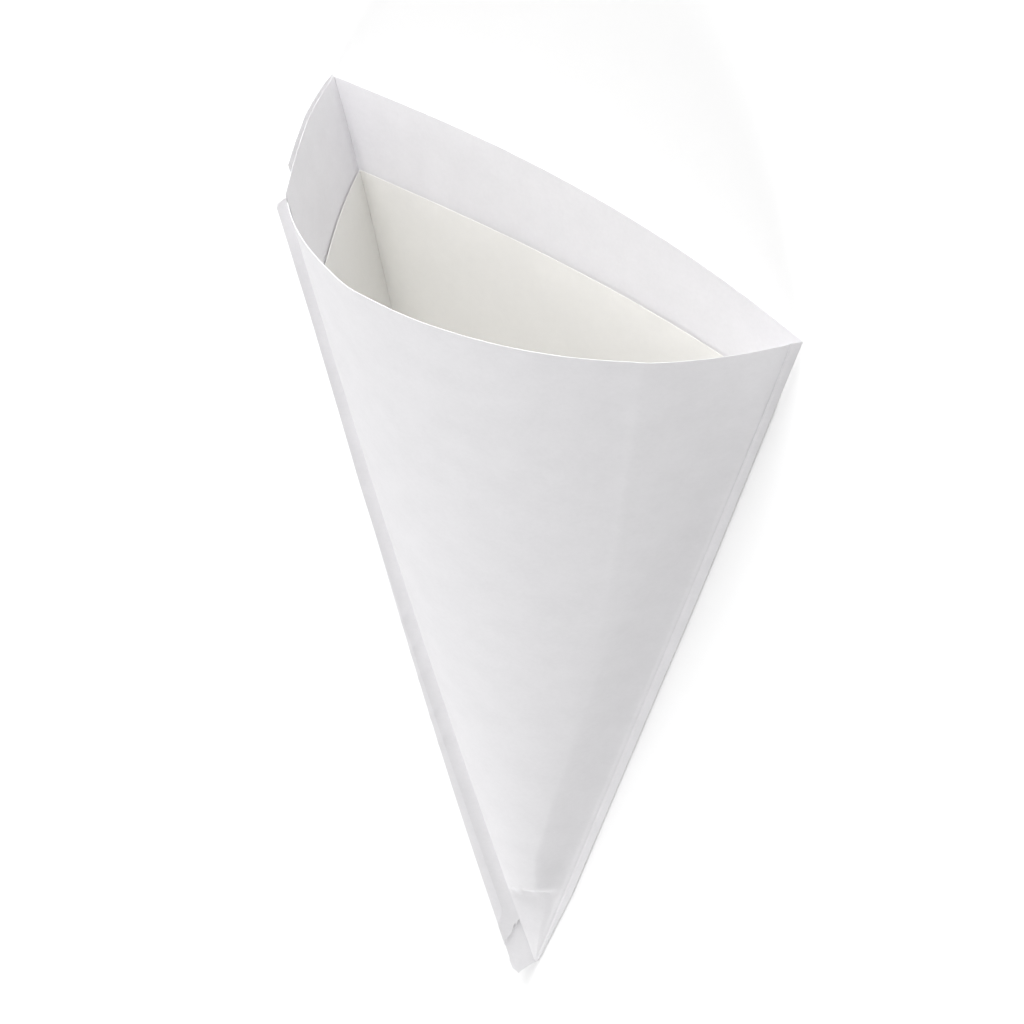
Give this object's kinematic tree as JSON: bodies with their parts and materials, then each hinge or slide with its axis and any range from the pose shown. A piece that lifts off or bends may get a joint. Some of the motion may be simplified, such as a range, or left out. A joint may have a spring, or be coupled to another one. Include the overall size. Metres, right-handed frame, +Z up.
{
  "type": "paper cone bag",
  "caption": "Open white paper cone bag with a cream greaseproof liner, a flat back, an arched front and glued side seams, lying on its back.",
  "frame": {"origin": "on the underside of the flat back panel, on its middle line, 150 mm from the tip", "axes": "+Z up from the back panel toward the arched front, +Y from the tip toward the mouth, +X toward the narrow right seam"},
  "size_m": [0.1715, 0.2772, 0.0699],
  "materials": {
    "white_paper": "matt, with a faint cloudy fibre texture",
    "greaseproof_paper": "matt, smooth and slightly translucent, cream"
  },
  "bodies": {
    "root": {"outer_sheet": "white_paper", "greaseproof_liner": "greaseproof_paper"}
  },
  "joints": []
}
